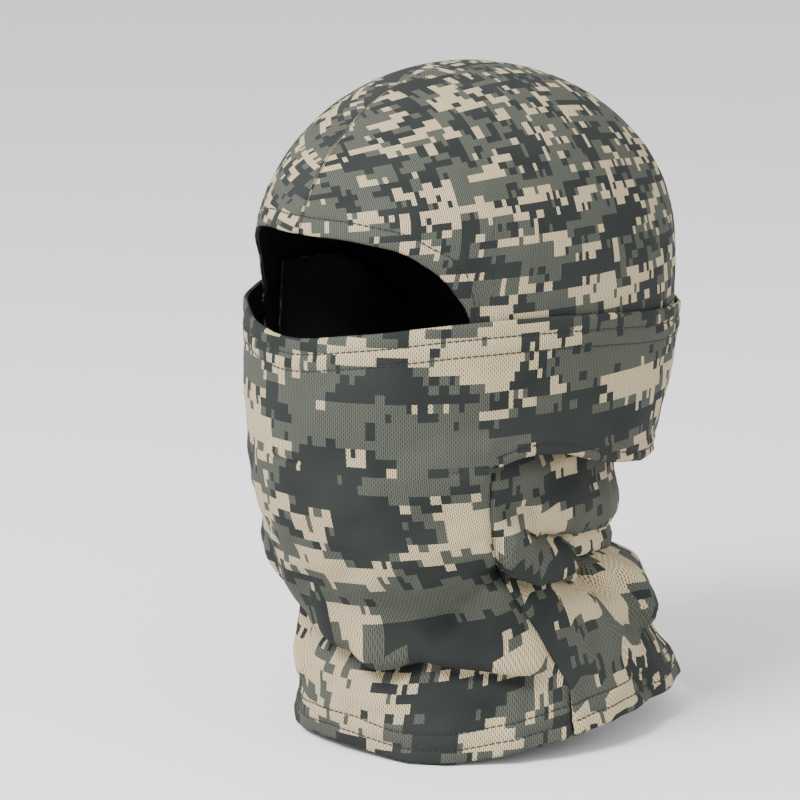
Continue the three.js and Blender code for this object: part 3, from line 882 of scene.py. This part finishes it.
def crown_places():
    """Rows at even lengths down the cloth, from the top of the head to the eye opening or the band."""
    quarter = np.linspace(0, 1, 60)
    path = np.concatenate([DOME * (1 - np.cos(quarter * math.pi / 2)), np.linspace(DOME, SEAM_TOP, 60)[1:]])
    run = np.concatenate([quarter * OVER_DOME, OVER_DOME + path[60:] - DOME])
    columns = []
    for foot, stretch in zip(crown_foot, eye_stretch(crown_columns)):
        stop = np.interp(foot, path, run)
        hem_rows = stop - EYE_ROWS * stretch
        stops = np.concatenate([np.linspace(0, hem_rows[0], 78)[:-1], hem_rows])
        columns.append(np.interp(stops, run, path))
    drop = np.stack(columns, -1)
    return np.broadcast_to(crown_columns, drop.shape), drop


def skirt_places():
    """The skirt's own rows under the band, then the same rows as the cover's below it."""
    top = SEAM_ANGLE + skirt_shares * (180 - SEAM_ANGLE)
    start = mix(86, CROWN_END - 14, ramp(top, 70, 140))  # tucked up further where the chin draws it down
    angle, drop = neck_places(stop_angle[:, None] + skirt_shares[None, :] * (180 - stop_angle[:, None]))
    above = mix(start[None, :], SEAM_TOP, np.linspace(0, 1, 24)[:-1, None])
    return np.vstack([np.broadcast_to(top, above.shape), angle]), np.vstack([above, drop])


def lengths_down(grid):
    """The length of cloth above each point, down through every fold."""
    steps = np.linalg.norm(np.diff(grid, axis=0), axis=-1)
    return np.vstack([np.zeros(grid.shape[1]), np.cumsum(steps, axis=0)])


def half_hood(part, side, places, surface):
    angle, drop = places
    index = np.arange(angle.size).reshape(angle.shape)
    faces = quads(index if side > 0 else index[:, ::-1])
    angle, drop = side * angle.ravel(), drop.ravel()
    name = f"hood_{part}_{'left' if side > 0 else 'right'}"
    node = f"hood_panel_{'left' if side > 0 else 'right'}"
    points = surface(angle, drop)
    cloth = hood_cloth(angle, drop)
    if part == "skirt":
        length = lengths_down(points.reshape(*index.shape, 3)).ravel()
        folded = np.tile(drop[:index.shape[1]], len(index)) + length
        cloth[:, 1] = mix(cloth[:, 1], folded, 0.25)
    return weave(name, points, cloth, faces, [node], 0.7, ["printed_hood", "knit_inside"])


SIDES = {"left": 1, "right": -1}
crowns, skirts = {}, {}
for word, side in SIDES.items():
    crowns[word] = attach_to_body(half_hood("crown", side, crown_places(), crown), "hood")
    skirts[word] = follow_cover(half_hood("skirt", side, skirt_places(), skirt))

# %% [markdown]
# ## The turned hems
# Each free edge is folded in once and sewn flat. On the real mask the inner ply is the same cloth, turned
# over at the edge. Here it is a narrow sheet just inside the panel, with its unprinted side painted near
# black as shade, and the panel's edge curls in to meet it.

# %% Inner plies of the hems
GAP = 0.95  # from the outer face of the panel to the outer face of the ply


def ply(name, surface, angles, edge_drop, into, depth, node, moving=True, stretch=1.0):
    """A ply inside a sheet's edge. It goes down from the edge for into = 1, and up for into = -1."""
    deep = np.array([0.35, 1.2, 2.5, *np.linspace(4, depth, max(4, int(depth / 1.8)))])
    places = np.broadcast_to(angles, (len(deep), len(angles)))
    drop = edge_drop[None, :] + into * deep[:, None] * stretch
    order = slice(None) if into > 0 else slice(None, None, -1)
    places, drop = places[order], drop[order]
    index = np.arange(drop.size).reshape(drop.shape)
    lift = -GAP - 0.25 * ramp(deep[order], 6, depth)[:, None] + 0 * drop
    points = surface(places.ravel(), drop.ravel(), lift.ravel())
    cloth = cover_cloth(places.ravel(), drop.ravel())
    piece = weave(name, points, cloth, quads(index), [node], 0.6, ["knit_inside"])
    length = float(np.linalg.norm(np.diff(surface(angles, edge_drop), axis=0), axis=1).sum()) * MM
    attach(piece, moving)
    return piece


def hem_surface(angle, drop, lift=0.0):
    """The cover in front of the side seams and the skirt behind them."""
    behind = (np.abs(angle) > seam_angle(drop))[..., None]
    return np.where(behind, skirt(angle, drop, lift), cover(angle, drop, lift))


round_head = np.linspace(-180, 180, 361)
rim_edge, neck_edge = rim_drop(np.abs(round_head)), hem_drop(np.abs(round_head))
ply("rim_hem_turning", cover, round_head, rim_edge, 1, 14, "rim_hem_ply")
ply("neck_hem_turning", hem_surface, round_head, neck_edge, -1, 14, "neck_hem_ply")
for word, side in SIDES.items():
    wing = side * np.linspace(SEAM_ANGLE + 1.5, 179, 120)[::side]
    band_edge = band_drop(np.abs(wing))
    ply(f"band_hem_turning_{word}", cover, wing, band_edge, -1, 8, f"band_hem_ply_{word}")
    eye = side * crown_columns[1:83][::side]
    ply(
        f"eye_hem_turning_{word}", crown, eye, np.minimum(eye_edge(np.abs(eye)), CROWN_END), -1, 9,
        f"eye_hem_ply_{word}", moving=False, stretch=eye_stretch(eye),
    )

# %% [markdown]
# ## Stitches
# A coverstitch machine sews the rim and the neck hem with two needles, and each single line is a chain
# stitch. Each stitch is a short length of thread pulled down at both ends. A line of them is scattered
# along its route, one every 2.7 mm, by a node group.

# %% The node group that sews
def stitch_shape():
    """One stitch along Z: thick in the middle, and pointed where it goes into the cloth."""
    rings = [(-1.25, 0.05), (-1.0, 0.20), (-0.5, 0.30), (0, 0.33), (0.5, 0.30), (1.0, 0.20), (1.25, 0.05)]
    turns = [k * math.pi / 3 for k in range(6)]
    corners = [(r * math.cos(turn), r * math.sin(turn), z) for z, r in rings for turn in turns]
    faces = [
        (6 * i + k, 6 * i + (k + 1) % 6, 6 * i + 6 + (k + 1) % 6, 6 * i + 6 + k)
        for i in range(len(rings) - 1) for k in range(6)
    ]
    caps = [tuple(range(5, -1, -1)), tuple(range(36, 42))]
    mesh = bpy.data.meshes.new("stitch_shape")
    mesh.from_pydata([[c * MM for c in corner] for corner in corners], [], faces + caps)
    shape = bpy.data.objects.new("stitch_shape", mesh)
    return shape


def sewing_group():
    group = bpy.data.node_groups.new("sew_along_route", "GeometryNodeTree")
    group.interface.new_socket("Geometry", in_out="INPUT", socket_type="NodeSocketGeometry")
    group.interface.new_socket("Stitch", in_out="INPUT", socket_type="NodeSocketObject")
    group.interface.new_socket("Spacing", in_out="INPUT", socket_type="NodeSocketFloat")
    group.interface.new_socket("Stitch Length", in_out="INPUT", socket_type="NodeSocketFloat")
    group.interface.new_socket("Thread", in_out="INPUT", socket_type="NodeSocketMaterial")
    group.interface.new_socket("Geometry", in_out="OUTPUT", socket_type="NodeSocketGeometry")
    add, link = group.nodes.new, group.links.new
    given, made = add("NodeGroupInput"), add("NodeGroupOutput")
    route, points = add("GeometryNodeMeshToCurve"), add("GeometryNodeCurveToPoints")
    points.mode = "LENGTH"
    shape, place = add("GeometryNodeObjectInfo"), add("GeometryNodeInstanceOnPoints")
    vary, size = add("FunctionNodeRandomValue"), add("ShaderNodeCombineXYZ")
    vary.inputs[2].default_value = 0.9
    vary.inputs[3].default_value = 1.08
    vary.inputs["Seed"].default_value = 5
    length = add("ShaderNodeMath")
    length.operation = "MULTIPLY"
    size.inputs[0].default_value = 1
    size.inputs[1].default_value = 1
    real, finish = add("GeometryNodeRealizeInstances"), add("GeometryNodeSetMaterial")
    link(given.outputs["Geometry"], route.inputs[0])
    link(route.outputs[0], points.inputs[0])
    link(given.outputs["Spacing"], points.inputs["Length"])
    link(given.outputs["Stitch"], shape.inputs[0])
    link(vary.outputs[1], length.inputs[0])
    link(given.outputs["Stitch Length"], length.inputs[1])
    link(length.outputs[0], size.inputs[2])
    link(points.outputs["Points"], place.inputs["Points"])
    link(points.outputs["Rotation"], place.inputs["Rotation"])
    link(shape.outputs["Geometry"], place.inputs["Instance"])
    link(size.outputs[0], place.inputs["Scale"])
    link(place.outputs[0], real.inputs[0])
    link(real.outputs[0], finish.inputs[0])
    link(given.outputs["Thread"], finish.inputs["Material"])
    link(finish.outputs[0], made.inputs[0])
    return group


STITCH, SEW = stitch_shape(), sewing_group()


def sew(
    name, route, nodes, finish="sewing_thread", spacing=2.7, long=0.98, moving=True,
):
    """Stitches along a route of points in millimetres."""
    mesh = bpy.data.meshes.new(name)
    mesh.from_pydata((route * MM).tolist(), [(i, i + 1) for i in range(len(route) - 1)], [])
    line = bpy.data.objects.new(name, mesh)
    bpy.context.scene.collection.objects.link(line)
    sewn = line.modifiers.new("sewn", "NODES")
    sewn.node_group = SEW
    values = {"Stitch": STITCH, "Spacing": spacing * MM, "Stitch Length": long, "Thread": MATERIALS[finish]}
    for item in SEW.interface.items_tree:
        if item.in_out == "INPUT" and item.name in values:
            sewn[item.identifier] = values[item.name]
    line.update_tag()
    settled = bpy.data.meshes.new_from_object(line.evaluated_get(bpy.context.evaluated_depsgraph_get()))
    line.modifiers.clear()
    line.data = settled
    settled.name = name
    settled.shade_smooth()
    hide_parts(*nodes)
    attach(line, moving)
    print(name, len(settled.polygons), "faces")
    return line


# %% Lines of stitches
fine_round = np.linspace(-180, 180, 721)
for word, line in zip(("upper", "lower"), RIM_LINES):
    route = cover(fine_round, rim_drop(np.abs(fine_round)) + line, 0.12)
    sew(f"rim_stitches_{word}", route, [f"rim_stitch_{word}"])
for word, line in zip(("lower", "upper"), NECK_LINES):
    route = hem_surface(fine_round, hem_drop(np.abs(fine_round)) - line, 0.12)
    sew(f"neck_stitches_{word}", route, [f"neck_stitch_{word}"])
for word, side in SIDES.items():
    wing = side * np.linspace(SEAM_ANGLE + 2, 178.5, 400)
    route = cover(wing, band_drop(np.abs(wing)) - BAND_LINE, 0.12)
    sew(f"band_stitches_{word}", route, [f"band_stitch_{word}"])
    eye = side * np.linspace(0.8, 52.3, 400)
    route = crown(eye, eye_edge(np.abs(eye)) - EYE_LINE * eye_stretch(eye), 0.12)
    sew(f"eye_stitches_{word}", route, [f"eye_stitch_{word}"], moving=False)
print("stitch lines sewn")

# %% [markdown]
# ## Overlocked seams
# Inside, every seam's raw edges are cut and wrapped together by an overlock machine. The allowance is a
# flat tape of two plies pressed to one side, with loops of thread over its edge.

# %% Overlocked allowances
def overlock(name, inner, outer, nodes, moving=True):
    """A taped allowance inside a seam, between the sewn line (inner) and the cut edges (outer)."""
    steps = np.array([0, 0.06, 0.5, 0.94, 1.0])[:, None, None]
    sheet = inner[None] + (outer - inner)[None] * steps
    index = np.arange(sheet.shape[0] * sheet.shape[1]).reshape(sheet.shape[:2])
    points = sheet.reshape(-1, 3)
    across = np.repeat(np.linspace(0, 6, 5), sheet.shape[1])
    cloth = np.stack([across, np.tile(np.arange(sheet.shape[1]) * 1.7, 5)], -1)
    tape = weave(name, points, cloth, quads(index), nodes, 0.9, ["knit_inside"])
    width = float(np.linalg.norm(outer - inner, axis=1).mean())
    length = float(np.linalg.norm(np.diff(inner, axis=0), axis=1).sum())
    attach(tape, moving)
    count = int(length / 1.6)
    at = np.linspace(0, len(inner) - 1.001, 2 * count)
    i = at.astype(int)
    t = (at - i)[:, None]
    near, far = mix(inner[i], inner[i + 1], t), mix(outer[i], outer[i + 1], t)
    share = np.where(np.arange(2 * count) % 2, 0.25, 1.03)[:, None]
    zigzag = mix(near, far, share)
    outward = zigzag * [1, 1, 0] - [0, zigzag[:, 1].mean(), 0]
    outward /= np.maximum(np.linalg.norm(outward, axis=1, keepdims=True), 1e-6)
    route = zigzag - outward * 1.05
    sew(name + "_loops", route, nodes, "overlock_thread", 1.4, 0.75, moving)


seam_drops = np.linspace(SEAM_TOP + 2, HEM - 12, 90)
for word, side in SIDES.items():
    stop = side * seam_angle(seam_drops)
    line = cover(stop, seam_drops, -1.6)
    sideways = skirt(stop + side * 4.2, seam_drops, -1.6)
    overlock(f"side_seam_allowance_{word}", line[::-side], sideways[::-side], [f"side_seam_overlock_{word}"])
low = CROWN_END - 2
quarter = np.linspace(0.12, 1, 50)
crown_drops = np.concatenate([DOME * (1 - np.cos(quarter * math.pi / 2)), np.linspace(DOME + 2, low, 34)])
front_drops = crown_drops[crown_drops < BROW - 9]
back_line = crown(np.full(len(crown_drops), 180.0), crown_drops, -1.2)
front_line = crown(np.full(len(front_drops), 0.0), front_drops, -1.2)
centre_line = np.concatenate([front_line[::-1], back_line])
centre_line[:, 2] -= 1.6 * (1 - ramp(-centre_line[:, 2], 0, 70))
beside_line = centre_line + [6, 0, 0]
beside_line[:, 2] -= 0.5 * (1 - ramp(-centre_line[:, 2], 0, 70))
overlock("crown_seam_allowance", centre_line, beside_line, ["crown_seam_overlock"], moving=False)
skirt_drops = np.linspace(CROWN_END, hem_drop(180.0) - 14, 80)
nape = skirt(np.full(len(skirt_drops), 180.0), skirt_drops, -1.6)
beside_nape = skirt(np.full(len(skirt_drops), 175.0), skirt_drops, -1.6)
overlock("nape_seam_allowance", nape, beside_nape, ["crown_seam_overlock"])
join_drops = np.linspace(rim_drop(180.0) + 15, band_drop(180.0) - 9, 30)
join_line = cover(np.full(30, 180.0), join_drops, -1.2)
beside_join = cover(np.full(30, 176.4), join_drops, -1.2)
overlock("band_join_allowance", join_line, beside_join, ["band_join_overlock"])

# %% [markdown]
# ## Bartacks and the care label
# A bartack is a dense bar of zigzag stitches. One holds each wing's lower corner to the head of the side
# seam, where the wearer's pull would tear it. The care label is a folded strip of satin, sewn into the
# left side seam from the inside, and it is left blank.

# %% Bartacks
for word, side in SIDES.items():
    across = np.arange(26)
    angles = side * (SEAM_ANGLE + np.linspace(-2.4, 2.4, 26))
    drops = SEAM_TOP + 0.2 + 0.8 * np.where(across % 2, 1, -1)
    route = cover(angles, drops, 0.35)
    sew(f"bartack_{word}", route, [f"seam_bartack_{word}"], spacing=0.62, long=0.5)

# %% Care label
LABEL_DOWN = np.linspace(SEAM_TOP + 30, SEAM_TOP + 62, 22)
label_shares = np.linspace(0, 1, 15)


def label_points():
    """A strip inside the skirt that follows its folds for less than half, and hangs flat for the rest."""
    top = seam_angle(LABEL_DOWN)[:, None] + 3.5 + label_shares[None, :] * 15
    drop = np.broadcast_to(LABEL_DOWN[:, None], top.shape)
    hang = -3.0 - 1.2 * np.sin(label_shares * 2.6)[None, :] - 0.5 * np.sin(LABEL_DOWN / 9)[:, None]
    folded = skirt(top, drop, hang - 2.5)
    share, row = label_shares[None, :, None], np.linspace(0, 1, len(LABEL_DOWN))[:, None, None]
    upper = mix(folded[0, 0], folded[0, -1], share)
    lower = mix(folded[-1, 0], folded[-1, -1], share)
    return mix(folded, mix(upper, lower, row), 0.55), top, drop


points, label_angle, label_drop = label_points()
index = np.arange(label_angle.size).reshape(label_angle.shape)
cloth = np.stack([label_angle.ravel(), label_drop.ravel()], -1)
label = weave(
    "care_label_strip", points.reshape(-1, 3), cloth, quads(index), ["care_label"], 0.35,
    ["label_satin"],
)
follow_cover(label)

# %% [markdown]
# ## Floor and light
# The mask stands on its neck hem on a plain pale floor, as if a head were inside it. A big soft light
# from above and in front, with a weaker one on each side, leaves the folds readable without hard shadows.

# %% Stage
bpy.ops.mesh.primitive_plane_add(size=8, location=(0, 0, -(HEM + 0.8) * MM))
floor = bpy.context.object
floor.name = "studio_floor"
paper = bpy.data.materials.new("studio_paper")
paper.use_nodes = True
paper.node_tree.nodes["Principled BSDF"].inputs["Base Color"].default_value = (0.86, 0.86, 0.86, 1)
paper.node_tree.nodes["Principled BSDF"].inputs["Roughness"].default_value = 0.95
floor.data.materials.append(paper)


def soft_light(name, azimuth, elevation, distance, size, power):
    lamp = bpy.data.lights.new(name, "AREA")
    lamp.size, lamp.energy = size, power
    holder = bpy.data.objects.new(name, lamp)
    bpy.context.scene.collection.objects.link(holder)
    a, e = math.radians(azimuth), math.radians(elevation)
    level = distance * math.cos(e)
    holder.location = (level * math.sin(a), -level * math.cos(a), distance * math.sin(e) - 0.15)
    holder.rotation_euler = (math.pi / 2 - e, 0, a)
    return holder


lights = [
    soft_light("key_light", 0, 50, 1.6, 0.7, 44),
    soft_light("fill_light", 105, 25, 1.8, 1.4, 9),
    soft_light("left_light", -60, 25, 1.8, 1.4, 5),
]
world = bpy.data.worlds.new("studio_air")
world.use_nodes = True
world.node_tree.nodes["Background"].inputs["Color"].default_value = (1, 1, 1, 1)
world.node_tree.nodes["Background"].inputs["Strength"].default_value = 1.2
bpy.context.scene.world = world
